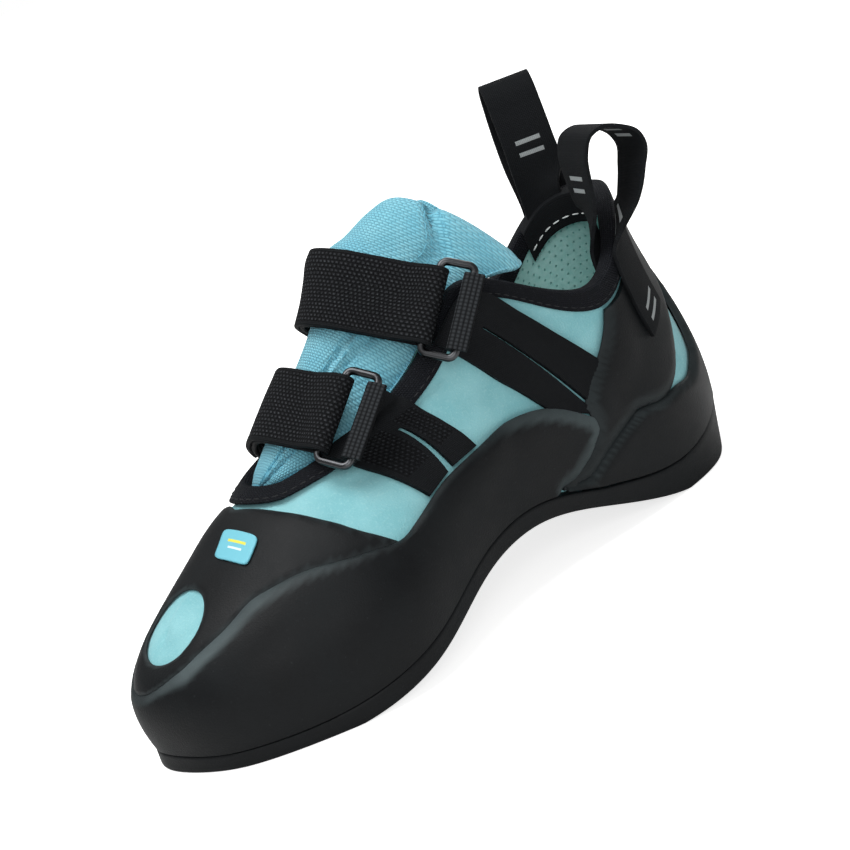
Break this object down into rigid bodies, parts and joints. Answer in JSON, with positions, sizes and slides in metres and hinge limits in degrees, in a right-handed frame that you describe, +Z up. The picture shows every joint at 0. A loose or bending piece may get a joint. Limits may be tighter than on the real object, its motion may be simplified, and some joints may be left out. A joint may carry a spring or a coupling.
{
  "type": "climbing shoe",
  "caption": "Left climbing shoe with an aqua suede upper, black rubber rands and sole, two hook-and-loop straps on wire rings and tall pull loops.",
  "frame": {"origin": "middle of the heel's flat on the floor", "axes": "+Z up, toe towards -Y, outer side of the foot towards +X"},
  "size_m": [0.0844, 0.2296, 0.1378],
  "materials": {
    "rubber": "matte climbing rubber",
    "insole_board": "grey fleece on board",
    "suede": "short-nap suede",
    "air_mesh": "padded air mesh",
    "webbing": "woven black webbing",
    "dark_steel": "dark plated wire"
  },
  "bodies": {
    "root": {"anchor_lower": "webbing", "anchor_upper": "webbing", "collar_binding": "webbing", "heel_band": "rubber", "heel_cup": "rubber", "insole": "insole_board", "outsole": "rubber", "pull_loop_inner": "webbing", "pull_loop_outer": "webbing", "ring_lower": "dark_steel", "ring_upper": "dark_steel", "side_rand": "rubber", "strap_lower": "webbing", "strap_upper": "webbing", "throat_binding_inner": "webbing", "throat_binding_outer": "webbing", "toe_cap": "rubber", "toe_patch": "suede", "tongue": "air_mesh", "upper": "suede"}
  },
  "joints": []
}
